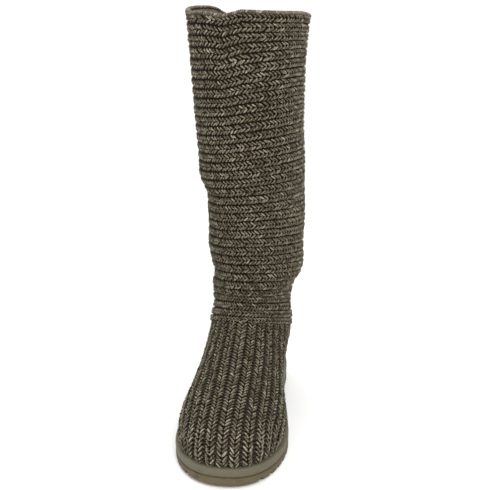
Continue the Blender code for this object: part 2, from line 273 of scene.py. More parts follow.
@dataclass(frozen=True)
class SoleForm:
    """Outline and heights of the sole."""

    length: float = 0.268
    ball_width: float = 0.104
    forefoot: float = 0.0152
    heel: float = 0.0225
    outsole_forefoot: float = 0.0072
    outsole_heel: float = 0.0105
    toe_spring: float = 0.0030
    heel_bevel: float = 0.0020
    arch_lift: float = 0.0016
    inswing_width: float = 0.0040
    toe_round: float = 0.30
    heel_round: float = 0.17
    round_power: float = 2.25
    shift: float = 0.003358
    spring_end: float = 0.20
    arch_rise: Pair = (0.44, 0.52)
    arch_fall: Pair = (0.64, 0.70)
    bevel_start: float = 0.90
    thickening: Pair = (0.32, 0.72)

    @staticmethod
    def station(angle: Array) -> Array:
        """Share of the length at an angle: half of one minus its cosine."""
        return (1 - np.cos(angle)) / 2

    def end_round(self, share: Array, reach: float) -> Array:
        """Superellipse that closes an outline: 0 at the end, 1 from this reach on."""
        gap = np.clip(1 - share / reach, 0.0, 1.0)
        return np.maximum(1 - gap**self.round_power, 0.0) ** (1 / self.round_power)

    def half(self, angle: Array, half: Array | float, inset: float) -> Array:
        """Signed x of the outline: the table's half width less the inset, rounded off at both ends.

        Args:
            angle: angles round the sole.
            half: the half width that the table's shares belong to.
            inset: the way in from the outline.

        Returns:
            x at each angle, above zero on the inner side.
        """
        station = self.station(angle)
        stations, inner, outer = np.array(PLAN).T
        share = np.where(np.sin(angle) >= 0, hermite(stations, inner, station), hermite(stations, outer, station))
        ends = self.end_round(station, self.toe_round) * self.end_round(1 - station, self.heel_round)
        return np.where(np.sin(angle) >= 0, 1.0, -1.0) * (half * share - inset) * ends

    def inswing(self, station: Array) -> Array:
        """How far the toe swings inwards: the square of the way left to the toe's round."""
        return self.inswing_width * np.maximum(0.0, 1 - station / self.toe_round) ** 2

    def spring(self, station: Array) -> Array:
        """Rise of the toe: the square of the way left to the spring's end."""
        return self.toe_spring * np.maximum(0.0, 1 - station / self.spring_end) ** 2

    def floor(self, station: Array) -> Array:
        """Height of the underside: toe spring, a soft arch, and the heel's bevel as a square.

        Args:
            station: share of the length, from the toe.

        Returns:
            The heights there.
        """
        heel = np.maximum(0.0, (station - self.bevel_start) / (1 - self.bevel_start)) ** 2
        arch = self.arch_lift * plateau(self.arch_rise, self.arch_fall, station)
        return self.spring(station) + arch + self.heel_bevel * heel

    def lifted(self, station: Array, forefoot: float, heel: float) -> Array:
        """Height of a surface with these heights at forefoot and heel, and the toe spring added."""
        return self.spring(station) + between(forefoot, heel, smoothstep(*self.thickening, station))

    def split(self, station: Array) -> Array:
        """Height of the joint between outsole and midsole."""
        return self.lifted(station, self.outsole_forefoot, self.outsole_heel)

    def top(self, station: Array) -> Array:
        """Height of the midsole's top."""
        return self.lifted(station, self.forefoot, self.heel)

    def ring(self, angle: Array, inset: float, height: Height) -> Array:
        """Points of the outline, moved in by inset, at the height that the function gives.

        Args:
            angle: angles round the sole.
            inset: the way in from the outline.
            height: gives the height at a station.

        Returns:
            Points, (..., 3).
        """
        station = self.station(angle)
        x = self.half(angle, self.ball_width / 2, inset) + self.inswing(station) + self.shift
        y = -(self.length / 2 - inset) * np.cos(angle)
        return np.stack([x, y, height(station)], axis=-1)


@dataclass(frozen=True)
class UpperForm:
    """Outer surface of the upper, with its main folds placed one by one."""

    sole: SoleForm = SoleForm()
    ledge: float = 0.0038
    wall: float = 0.0032
    touch_gap: float = 0.0003
    seam_step: float = 0.0014
    instep_height: float = 0.0975
    instep_reach: float = 0.1385
    seam_back_height: float = 0.049
    collar_height: float = 0.383
    collar_width: float = 0.116
    collar_depth: float = 0.132
    ankle_width: float = 0.0765
    ankle_depth: float = 0.109
    heel_swell: float = 0.0030
    collar_wave: float = 0.0030
    rim_reach: float = 0.20
    settle_reach: float = 0.30
    seam_reach: float = 0.16
    folds: tuple[Fold, ...] = table(
        Fold,
        (5, 0.1115, 75, 0.0050, -0.003, 0.0016), (0, 0.1235, 60, 0.0060, 0.002, -0.0010),
        (78, 0.1180, 32, 0.0070, 0.004, 0.0020), (62, 0.1420, 40, 0.0110, -0.006, -0.0014),
        (-75, 0.1330, 45, 0.0075, 0.006, 0.0013), (-60, 0.1600, 40, 0.0090, 0.004, -0.0009),
        (-82, 0.2150, 46, 0.0080, -0.008, 0.0017), (-70, 0.2330, 46, 0.0110, -0.006, -0.0013),
        (40, 0.2050, 60, 0.0140, 0.014, 0.0009), (-15, 0.2900, 34, 0.0400, 0.020, 0.0010),
        (-21, 0.3760, 11, 0.0240, 0.004, 0.0034), (-48, 0.3740, 18, 0.0260, 0.002, -0.0014),
        (8, 0.3780, 18, 0.0220, 0.000, -0.0010), (35, 0.3200, 26, 0.0500, 0.000, -0.0008),
        (180, 0.0930, 70, 0.0075, 0.000, 0.0018), (172, 0.1120, 60, 0.0080, 0.004, -0.0013),
        (188, 0.1330, 66, 0.0095, -0.005, 0.0013), (165, 0.2350, 60, 0.0160, 0.012, 0.0011),
        (120, 0.2700, 50, 0.0140, -0.010, 0.0008), (0, 0.0660, 50, 0.0060, 0.000, 0.0009),
    )

    def ring_between(
        self, angle: Array, front: tuple[Array, Array], back: tuple[Array, Array], half: Array, plan: Array
    ) -> Array:
        """A ring between a front and a back point.

        Args:
            angle: angles round it.
            front: y and height at its front.
            back: y and height at its back.
            half: half width, without its sign.
            plan: 0 for an ellipse, 1 for the sole's outline.

        Returns:
            Its points.
        """
        sole, station = self.sole, self.sole.station(angle)
        x = between(half * np.sin(angle), sole.half(angle, half, 0.0), plan)
        x = x + sole.shift + sole.inswing(station) * plan
        return np.stack([x, between(front[0], back[0], station), between(front[1], back[1], station)], axis=-1)

    def foot(self, angle: Array, place: Array) -> Array:
        """The foot's rings, which follow the sole's top at its edge.

        Args:
            angle: angles round the boot.
            place: 0 at the sole's edge, 1 at the ankle seam.

        Returns:
            Points, (..., 3).
        """
        sole, row = self.sole, row_at(FOOT, place)
        toe_top, heel_top = sole.top(np.array(0.0)), sole.top(np.array(1.0))
        front_y = -sole.length / 2 + between(self.ledge, self.instep_reach, row.reach)
        front_z = between(toe_top + self.touch_gap, self.instep_height, row.climb)
        back_y = sole.length / 2 - self.ledge + self.heel_swell * row.bulge
        back_z = between(heel_top + self.touch_gap, self.seam_back_height, row.back_climb)
        side = np.where(np.sin(angle) >= 0, row.inner, row.outer)
        half = between(self.ankle_width / 2, sole.ball_width / 2, side)
        ring = self.ring_between(angle, (front_y, front_z), (back_y, back_z), half, row.plan)
        station = sole.station(angle)
        bend = sole.top(station) - between(toe_top, heel_top, station)
        ring[..., 2] += bend * np.maximum(0.0, 1 - place / self.settle_reach)
        return ring

    def shaft(self, angle: Array, place: Array) -> Array:
        """The shaft's rings, which leave the seam in a soft S and end in the collar's wave.

        Args:
            angle: angles round the boot.
            place: 0 at the ankle seam, 1 at the collar.

        Returns:
            Points, (..., 3).
        """
        sole, row, seam = self.sole, row_at(SHAFT, place), FOOT[-1]
        free = smoothstep(0.0, self.seam_reach, place)
        back_y = sole.length / 2 - row.back * self.ankle_depth
        front_y = back_y - between(self.ankle_depth, self.collar_depth, row.depth)
        seam_front = -sole.length / 2 + self.instep_reach - self.seam_step
        seam_back = sole.length / 2 - self.ledge + self.heel_swell * seam.bulge + self.seam_step
        front_z = between(self.instep_height, self.collar_height, row.climb)
        back_z = between(self.seam_back_height, self.collar_height, row.back_climb)
        inwards = np.sin(angle) >= 0
        ankle, collar, ball = self.ankle_width / 2, self.collar_width / 2, sole.ball_width / 2
        half = between(ankle, collar, np.where(inwards, row.inner, row.outer))
        lapped = between(ankle, ball, np.where(inwards, seam.inner, seam.outer)) + self.seam_step
        front, back = (between(seam_front, front_y, free), front_z), (between(seam_back, back_y, free), back_z)
        ring = self.ring_between(angle, front, back, between(lapped, half, free), seam.plan * (1 - free))
        wave = self.collar_wave * smoothstep(1 - self.rim_reach, 1.0, place)
        ring[..., 2] += wave * hermite(*RIM, np.degrees(angle) % 360)
        return ring

    def plain(self, part: Part, angle: Array, place: Array) -> Array:
        """A point of the surface without its folds."""
        angle, place = paired(angle, place)
        return self.foot(angle, place) if part is Part.FOOT else self.shaft(angle, place)

    def axes(self, surface: Surface, angle: Array, place: Array) -> tuple[Array, ...]:
        """Directions of a surface by small differences.

        Args:
            surface: gives the points at angle and place.
            angle: angles round the boot.
            place: places up the part.

        Returns:
            Point, direction round, direction up and outward normal, each (..., 3).
        """
        step = 1e-3
        low, high = np.maximum(place - step, 0.0), np.minimum(place + step, 1.0)
        around = unit(surface(angle + step, place) - surface(angle - step, place))
        up = unit(surface(angle, high) - surface(angle, low))
        normal = unit(np.cross(around, up))
        return surface(angle, place), around, unit(np.cross(normal, around)), normal

    def folded(self, part: Part) -> Surface:
        """The surface as a function, with each fold a bell over angle and height, pushed in along the normal.

        Args:
            part: the foot or the shaft.

        Returns:
            A function of angle and place that gives points.
        """

        def surface(angle: Array, place: Array) -> Array:
            """Points with every fold's push added up.

            Args:
                angle: angles round the boot.
                place: places up the part.

            Returns:
                Points, (..., 3).
            """
            angle, place = paired(angle, place)
            point, _, _, normal = self.axes(lambda a, p: self.plain(part, a, p), angle, place)
            depth = np.zeros(angle.shape)
            for fold in self.folds:
                turn = (np.degrees(angle) - fold.degrees + 180) % 360 - 180
                rise = point[..., 2] - fold.height - fold.slope * turn / fold.spread
                depth = depth + fold.depth * np.exp(-((turn / fold.spread) ** 2) - (rise / fold.breadth) ** 2)
            # Folds die out at the ankle seam, where the foot and the shaft meet.
            edge = smoothstep(0.0, 0.05, place) if part is Part.SHAFT else 1 - smoothstep(0.9, 1.0, place)
            return point - normal * (depth * edge)[..., None]

        return surface

    def on(self, part: Part, angle: Array, place: Array) -> tuple[Array, ...]:
        """Point, direction round, direction up and normal of the folded surface."""
        angle, place = paired(angle, place)
        return self.axes(self.folded(part), angle, place)

    def place_at(self, climb: Array) -> Array:
        """Place of the shaft's ring whose front lies at this share of the shaft's height."""
        fine = np.linspace(0.0, 1.0, 801)
        return np.interp(climb, row_at(SHAFT, fine).climb, fine)


def output(source: object) -> object:
    """A node's first output; a socket or a plain value is given back as it is."""
    return source.outputs[0] if isinstance(source, bpy.types.Node) else source


def add_node(tree: Tree, kind: str, inputs: dict[int | str, object], **settings: object) -> Node:
    """Adds a node with its settings, input values and links.

    Args:
        tree: the node tree that gets it.
        kind: the node's type name, without ShaderNode before it.
        inputs: number or name of each input, with its value, or the node or output socket that feeds it.
        settings: attributes of the node.

    Returns:
        The new node.
    """
    node = tree.nodes.new("ShaderNode" + kind)
    for key, value in settings.items():
        setattr(node, key, value)
    for key, value in inputs.items():
        value = output(value)
        if isinstance(value, bpy.types.NodeSocket):
            tree.links.new(value, node.inputs[key])
        else:
            node.inputs[key].default_value = value
    return node


def new_material(name: str, **sockets: object) -> tuple[Material, Tree, Node]:
    """A new material with constants set on its shader.

    Args:
        name: the material's name.
        sockets: values by the socket's name, with _ for a space.

    Returns:
        The material, its tree and its Principled shader.
    """
    material = bpy.data.materials.new(name)
    material.use_nodes = True
    tree = material.node_tree
    shader = tree.nodes["Principled BSDF"]
    for key, value in sockets.items():
        shader.inputs[key.replace("_", " ")].default_value = value
    return material, tree, shader


def feed(tree: Tree, shader: Node, **sources: object) -> None:
    """Links nodes or output sockets to the shader's sockets of these names."""
    for key, source in sources.items():
        tree.links.new(output(source), shader.inputs[key.replace("_", " ")])


def colour_ramp(node: Node, *stops: tuple[float, str]) -> Node:
    """Sets the stops of a colour ramp.

    Args:
        node: the ramp's node.
        stops: place and sRGB hex colour of each stop.

    Returns:
        The same node.
    """
    ramp = node.color_ramp
    while len(ramp.elements) < len(stops):
        ramp.elements.new(1.0)
    for element, (place, code) in zip(ramp.elements, stops):
        element.position = place
        element.color = linear(code)
    return node


@dataclass(frozen=True)
class HeatherYarn:
    """Plied heather wool: dull, matt, with pale and dark fibres carded together and a soft halo."""

    name: str = "plied_heather_wool"
    dark: str = "#332d22"
    low: str = "#5a5243"
    high: str = "#7f7763"
    pale: str = "#aaa38e"
    ply_length_mm: float = 3.4
    fibre_mm: float = 0.55
    relief_mm: float = 0.30
    lanes: float = 9.0
    lay: float = 0.30
    leg_share: float = 0.20

    def material(self) -> Material:
        """Twisted plies and carded fibres in the yarn's own coordinates: millimetres along, turns around.

        Fibres lie along the strand in lanes, and each leg has a tone of its own. The colour holds painted shade and
        highlight: a strand's flanks and the grooves between its plies are painted darker, and its crest a little
        lighter.

        Returns:
            The finished material.
        """
        material, tree, shader = new_material(
            self.name, Roughness=0.92, Sheen_Weight=0.16, Sheen_Roughness=0.55, Specular_IOR_Level=0.15,
            Sheen_Tint=linear("#e8dcc2"),
        )
        uv = add_node(tree, "UVMap", {}, uv_map="yarn")
        mm, around, _ = add_node(tree, "SeparateXYZ", {0: uv}).outputs
        shade = add_node(tree, "Attribute", {}, attribute_name="shade").outputs["Fac"]
        turn = add_node(tree, "Math", {0: mm, 1: 1 / self.ply_length_mm, 2: around}, operation="MULTIPLY_ADD")
        twist = add_node(tree, "Math", {0: turn, 1: 2 * math.pi}, operation="MULTIPLY")
        wave = add_node(tree, "Math", {0: twist}, operation="SINE")
        ply = add_node(tree, "Math", {0: wave}, operation="ABSOLUTE")
        lane = add_node(tree, "Math", {0: turn, 1: self.lanes}, operation="MULTIPLY")
        lay = add_node(tree, "Math", {0: mm, 1: self.lay}, operation="MULTIPLY")
        own = add_node(tree, "Math", {0: shade, 1: 61.0}, operation="MULTIPLY")
        spot = add_node(tree, "CombineXYZ", {0: lane, 1: lay, 2: own})
        carded = {"Vector": spot, "Scale": self.fibre_mm, "Detail": 3.0, "Roughness": 0.65}
        fibres = add_node(tree, "TexNoise", carded)
        mixed = add_node(tree, "Math", {0: shade, 1: self.leg_share, 2: fibres}, operation="MULTIPLY_ADD")
        tone = add_node(tree, "Math", {0: mixed, 1: self.leg_share / 2}, operation="SUBTRACT")
        ramp = add_node(tree, "ValToRGB", {0: tone})
        colour_ramp(ramp, (0.33, self.dark), (0.46, self.low), (0.56, self.high), (0.69, self.pale))
        # Painted shade: the colour is darkened in the grooves between the plies.
        painted_ply_shade = add_node(tree, "MapRange", {0: ply, "To Min": 0.66, "To Max": 1.08})
        # Painted shade and highlight: the tube's flanks are darkened and its crest lightened a little, by the way
        # each side faces.
        circle = add_node(tree, "Math", {0: around, 1: 2 * math.pi}, operation="MULTIPLY")
        facing = add_node(tree, "Math", {0: circle}, operation="SINE")
        painted_flank_shade = add_node(tree, "MapRange", {0: facing, "From Min": 0.20, "To Min": 0.20, "To Max": 1.12})
        depth = add_node(tree, "Math", {0: painted_ply_shade, 1: painted_flank_shade}, operation="MULTIPLY")
        colour_with_painted_shade = add_node(tree, "VectorMath", {0: ramp, "Scale": depth}, operation="SCALE")
        height = add_node(tree, "Math", {0: fibres, 1: 0.7, 2: ply}, operation="MULTIPLY_ADD")
        bump = add_node(tree, "Bump", {"Strength": 0.8, "Distance": self.relief_mm / 1000, "Height": height})
        feed(tree, shader, Base_Color=colour_with_painted_shade, Normal=bump)
        return material


@dataclass(frozen=True)
class WoolGround:
    """The recessed side of the knit, seen between the ribs and inside, with short purl bumps. Its colour is painted
    shade, far darker than the yarn in the gaps between stitches; the inside is paler, lifted as painted light
    against the shade inside the collar.
    """

    name: str = "wool_knit_ground_painted_shade"
    dark: str = "#130f0a"
    light: str = "#2d251b"
    inside: str = "#91866f"
    purl_mm: float = 2.6
    fibre_mm: float = 2 / 3
    relief_mm: float = 0.5

    def material(self) -> Material:
        """Purl bumps are round cells of this size. The grooves' dark colour is painted shade; the inside is paler
        than the grooves, lifted as painted light against the shade inside the collar.

        Returns:
            The finished material.
        """
        material, tree, shader = new_material(self.name, Roughness=0.95, Specular_IOR_Level=0.12)
        place = add_node(tree, "TexCoord", {}).outputs["Object"]
        cells = add_node(tree, "TexVoronoi", {"Vector": place, "Scale": 1000 / self.purl_mm})
        fibres = add_node(tree, "TexNoise", {"Vector": place, "Scale": 1000 / self.fibre_mm, "Detail": 3.0})
        inside = add_node(tree, "Attribute", {}, attribute_name="inside").outputs["Fac"]
        # Painted shade: the dark ramp colours the ground between the stitches as shade; the pale ramp lifts the
        # inside as painted light.
        ramp = colour_ramp(add_node(tree, "ValToRGB", {0: fibres}), (0.35, self.dark), (0.68, self.light))
        pale = colour_ramp(add_node(tree, "ValToRGB", {0: fibres}), (0.32, self.light), (0.66, self.inside))
        mix = add_node(tree, "Mix", {0: inside, 6: ramp, 7: pale}, data_type="RGBA")
        bumps = {"Strength": 0.8, "Distance": self.relief_mm / 1000, "Height": cells}
        feed(tree, shader, Base_Color=mix.outputs[2], Normal=add_node(tree, "Bump", bumps, invert=True))
        return material


@dataclass(frozen=True)
class MouldedFoam:
    """Compression-moulded foam: matt and even, with a fine skin, faint mottling and a little dust in the mottling.
    """

    name: str = "moulded_eva_foam"
    base: str = "#5b5745"
    worn: str = "#646050"
    dust: str = "#4e4837"
    skin_mm: float = 0.6
    mottle_mm: float = 14.0
    relief_mm: float = 0.05
    roughness: float = 0.62

    def material(self) -> Material:
        """Mottling by broad noise, skin by fine noise, and a roughness that follows the mottling.

        Returns:
            The finished material.
        """
        material, tree, shader = new_material(self.name, Roughness=self.roughness, Specular_IOR_Level=0.32, IOR=1.5)
        place = add_node(tree, "TexCoord", {}).outputs["Object"]
        mottled = {"Vector": place, "Scale": 1000 / self.mottle_mm, "Detail": 4.0, "Roughness": 0.6}
        broad = add_node(tree, "TexNoise", mottled)
        skin = add_node(tree, "TexNoise", {"Vector": place, "Scale": 1000 / self.skin_mm, "Detail": 2.0})
        ramp = add_node(tree, "ValToRGB", {0: broad})
        colour_ramp(ramp, (0.30, self.dust), (0.46, self.base), (0.58, self.base), (0.75, self.worn))
        dull = {"From Min": 0.3, "From Max": 0.7, "To Min": self.roughness - 0.08, "To Max": self.roughness + 0.14}
        rough = add_node(tree, "MapRange", {0: broad, **dull})
        bump = add_node(tree, "Bump", {"Strength": 0.7, "Distance": self.relief_mm / 1000, "Height": skin})
        feed(tree, shader, Base_Color=ramp, Roughness=rough, Normal=bump)
        return material


@dataclass(frozen=True)
class Fleece:
    """Sheared wool pile of the footbed: pale, matt, in soft clumps."""

    name: str = "sheared_fleece"
    low: str = "#8f8064"
    high: str = "#cdbf9f"
    clump_mm: float = 3.0
    relief_mm: float = 1.2

    def material(self) -> Material:
        """Clumps by cell noise with fine fibres over them.

        Returns:
            The finished material.
        """
        material, tree, shader = new_material(self.name, Roughness=0.95, Sheen_Weight=0.4, Specular_IOR_Level=0.1)
        place = add_node(tree, "TexCoord", {}).outputs["Object"]
        pile = {"Vector": place, "Scale": 1000 / self.clump_mm, "Detail": 6.0, "Roughness": 0.75}
        clumps = add_node(tree, "TexNoise", pile)
        ramp = colour_ramp(add_node(tree, "ValToRGB", {0: clumps}), (0.32, self.low), (0.62, self.high))
        bump = add_node(tree, "Bump", {"Strength": 1.0, "Distance": self.relief_mm / 1000, "Height": clumps})
        feed(tree, shader, Base_Color=ramp, Normal=bump)
        return material


def mesh_piece(name: str, points: Array, faces: Sequence[NDArray[np.int64]], material: Material) -> Piece:
    """A smooth-shaded object at the origin from points and groups of faces.

    Args:
        name: the piece's name.
        points: vertices, (n, 3).
        faces: arrays of vertex numbers, one array for each number of corners.
        material: the finish.

    Returns:
        The linked object.
    """
    corners = np.concatenate([group.ravel() for group in faces])
    totals = np.concatenate([np.full(len(group), group.shape[1]) for group in faces])
    mesh = bpy.data.meshes.new(name)
    mesh.vertices.add(len(points))
    mesh.vertices.foreach_set("co", np.ascontiguousarray(points, np.float32).ravel())
    mesh.loops.add(len(corners))
    mesh.loops.foreach_set("vertex_index", corners.astype(np.int32))
    mesh.polygons.add(len(totals))
    mesh.polygons.foreach_set("loop_start", np.concatenate(([0], np.cumsum(totals)[:-1])).astype(np.int32))
    mesh.update(calc_edges=True)
    mesh.validate()
    mesh.shade_smooth()
    mesh.materials.append(material)
    piece = bpy.data.objects.new(name, mesh)
    bpy.context.scene.collection.objects.link(piece)
    return piece


def point_attribute(piece: Piece, name: str, values: Array) -> None:
    """Stores a number at each vertex, under the name by which a finish reads it."""
    layer = piece.data.attributes.new(name, "FLOAT", "POINT")
    layer.data.foreach_set("value", values.astype(np.float32))


def wrapped_quads(rows: int, columns: int, close_rows: bool) -> NDArray[np.int64]:
    """Quads of a grid whose columns close into a ring, and whose rows do too where asked.

    Args:
        rows: number of rings.
        columns: points in a ring.
        close_rows: whether the last ring joins the first.

    Returns:
        Vertex numbers of the quads, (n, 4).
    """
    i, j = np.meshgrid(np.arange(rows if close_rows else rows - 1), np.arange(columns), indexing="ij")
    low, high = i * columns, ((i + 1) % rows) * columns
    right = (j + 1) % columns
    return np.stack([low + j, low + right, high + right, high + j], axis=-1).reshape(-1, 4)


def dressed(piece: Piece, node: str) -> None:
    """Rides a piece on the boot's one body and hides the CAD node it stands for.

    Args:
        piece: the object.
        node: the CAD node it stands for.
    """
    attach(piece, "root")
    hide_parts(node)
    log.info("%s: %d faces", piece.name, len(piece.data.polygons))


@dataclass(frozen=True)
class YarnLegs:
    """Short lengths of yarn, the legs of stitches, each a tube along its own curve."""

    sides: int = 6
    flatness: float = 0.86

    def piece(
        self, name: str, centre: Array, out: Array, radius: Array, shade: Array, material: Material
    ) -> Piece:
        """Tubes: each ring lies across its curve, turned by the outward direction, and both ends are closed.

        Args:
            name: the piece's name.
            centre: points of each leg's curve, (..., points, 3).
            out: outward direction at each leg, (..., 3).
            radius: radius at each point, (..., points).
            shade: tone of each leg from 0 to 1.
            material: the finish.

        Returns:
            The object, with the UV map "yarn" in millimetres and turns, and the attribute "shade".
        """
        count, sides = centre.shape[-2], self.sides
        out = np.broadcast_to(out, (*centre.shape[:-2], 3)).reshape(-1, 1, 3)
        radius = np.broadcast_to(radius, centre.shape[:-1]).reshape(-1, count, 1, 1)
        centre = centre.reshape(-1, count, 3)
        legs = len(centre)
        along_leg = unit(np.gradient(centre, axis=1))
        across = unit(np.cross(out, along_leg))[:, :, None]
        up = np.cross(along_leg, across[:, :, 0])[:, :, None]
        turn = np.linspace(0.0, 2 * math.pi, sides, endpoint=False)[:, None]
        offset = across * np.cos(turn) + up * (self.flatness * np.sin(turn))
        points = (centre[:, :, None] + offset * radius).reshape(-1, 3)
        leg, ring, side = np.ogrid[:legs, : count - 1, :sides]
        low = (leg * count + ring) * sides
        after = (side + 1) % sides
        quads = np.stack([low + side, low + after, low + sides + after, low + sides + side], axis=-1)
        start = low[:, 0] + np.arange(sides)[::-1]
        end = low[:, -1] + sides + np.arange(sides)
        piece = mesh_piece(name, points, [quads.reshape(-1, 4), start, end], material)
        gaps = np.linalg.norm(np.diff(centre, axis=1), axis=-1)
        run = np.concatenate([np.zeros((legs, 1)), np.cumsum(gaps, axis=1)], axis=1)[..., None] * 1000
        here, there = run[:, :-1], run[:, 1:]
        corners = ((here, side), (here, side + 1), (there, side + 1), (there, side))
        quad_uv = np.stack(
            [np.stack(np.broadcast_arrays(mm, number / sides), axis=-1) for mm, number in corners], axis=-2
        ).reshape(-1, 2)
        caps = np.zeros((2 * legs * sides, 2))
        layer = piece.data.uv_layers.new(name="yarn")
        layer.data.foreach_set("uv", np.concatenate([quad_uv, caps]).astype(np.float32).ravel())
        point_attribute(piece, "shade", np.repeat(shade.ravel(), count * sides))
        return piece


@dataclass
class Sole:
    """Midsole, outsole and footbed."""

    form: SoleForm
    upper: UpperForm
    edge_round: float = 0.0016
    groove: float = 0.0011
    lug_pitch: float = 0.0115
    lug_gap: float = 0.0042
    lug_depth: float = 0.0028
    forefoot_lugs: Pair = (0.060, 0.42)
    heel_lugs: Pair = (0.74, 0.95)
    footbed: float = 0.0050
    footbed_gap: float = 0.0012

    def cut_stations(self) -> Array:
        """Stations of the grooves between the lugs.

        Returns:
            The stations of their middles, rising.
        """
        pitch = self.lug_pitch / self.form.length
        runs = [np.arange(start, end + 1e-9, pitch) for start, end in (self.forefoot_lugs, self.heel_lugs)]
        return np.concatenate(runs)

    def angles(self, with_cuts: bool) -> Array:
        """Angles of a ring, mirrored on the two sides, with close pairs at the walls of each groove.

        Args:
            with_cuts: whether the ring has the grooves' walls.

        Returns:
            The angles, rising.
        """
        half = np.linspace(0.0, math.pi, 141)
        if with_cuts:
            gap, wall = self.lug_gap / self.form.length / 2, 0.00025 / self.form.length
            cuts = self.cut_stations()
            edges = np.concatenate([cuts - gap - wall, cuts - gap + wall, cuts + gap - wall, cuts + gap + wall])
            half = np.unique(np.concatenate([half, np.arccos(1 - 2 * edges)]))
        return np.concatenate([half, 2 * math.pi - half[-2:0:-1]])

    def lug_cut(self, station: Array) -> Array:
        """1 inside a groove and 0 on a lug."""
        inside = np.abs(station[..., None] - self.cut_stations()) < self.lug_gap / self.form.length / 2
        return inside.any(axis=-1).astype(float)

    def layer(
        self, name: str, angles: Array, steps: Sequence[tuple[float, Height]],
        material: Material,
    ) -> Piece:
        """A closed layer: rings of the outline joined up the side, and strips between its two halves.

        Args:
            name: the piece's name.
            angles: angles of the ring, mirrored about the heel.
            steps: inset and height function of each ring, from the bottom up.
            material: the finish.

        Returns:
            The object.
        """
        count = len(angles)
        rings = np.concatenate([self.form.ring(angles, inset, height) for inset, height in steps])
        i = np.arange(1, count // 2 - 1)
        strip = np.stack([i, i + 1, count - i - 1, count - i], axis=-1)
        ends = np.array([[0, 1, count - 1], [count // 2 - 1, count // 2, count // 2 + 1]])
        top = (len(steps) - 1) * count
        quads = np.concatenate([wrapped_quads(len(steps), count, False), strip[:, ::-1], strip + top])
        triangles = np.concatenate([ends[:, ::-1], ends + top])
        return mesh_piece(name, rings, [quads, triangles], material)

    def build(self) -> None:
        """Builds the three layers and dresses them."""
        form, e, g = self.form, self.edge_round, self.groove
        gap = self.upper.touch_gap

        def tread(lift: float) -> Height:
            """Height of the underside, lifted, with its grooves."""
            return lambda s: np.maximum(form.floor(s) + lift, (form.floor(s) + self.lug_depth) * self.lug_cut(s))

        def above(level: Height, rise: float) -> Height:
            """Height of a level with a rise on it."""
            return lambda s: level(s) + rise

        foam = MouldedFoam().material()
        rubber = MouldedFoam(
            name="moulded_tread_rubber", base="#584e37", worn="#665c43", dust="#463d29", roughness=0.70,
            mottle_mm=9.0, relief_mm=0.09,
        ).material()
        pile = Fleece().material()
        tread_rings = [
            (e, tread(0.0)),
            (e / 3, tread(e / 3)),
            (0.0, tread(e)),
            (0.0, tread(e + 0.0001)),
            (0.0, above(form.split, -g - 0.0003)),
            (0.0003, above(form.split, -g)),
            (g, above(form.split, -gap / 2)),
        ]
        outsole = self.layer("outsole_tread", self.angles(True), tread_rings, rubber)
        dressed(outsole, "outsole")
        foam_rings = [
            (g, above(form.split, gap / 2)),
            (0.0003, above(form.split, g)),
            (0.0, above(form.split, g + 0.0004)),
            (-0.0002, lambda s: between(form.split(s), form.top(s), 0.55)),
            (0.0, above(form.top, -e)),
            (e * 0.13, above(form.top, -e * 0.5)),
            (e * 0.5, above(form.top, -e * 0.13)),
            (e, form.top),
        ]
        dressed(self.layer("midsole_foam", self.angles(False), foam_rings, foam), "midsole")
        edge = self.upper.ledge + self.upper.wall + self.footbed_gap
        pile_rings = [
            (edge, above(form.top, gap)),
            (edge - 0.0004, above(form.top, self.footbed * 0.4)),
            (edge, above(form.top, self.footbed * 0.75)),
            (edge + self.footbed * 0.4, above(form.top, self.footbed)),
        ]
        dressed(self.layer("footbed_pile", self.angles(False), pile_rings, pile), "insole")


@dataclass(frozen=True)
class LegShape:
    """A stitch's leg, as shares of the stitch and its row, and its height over the surface in metres.

    A pair is a mean and how far single legs stray from it.
    """

    reach: Pair
    off_middle: Pair
    slant: float
    radius: Pair
    height: Pair


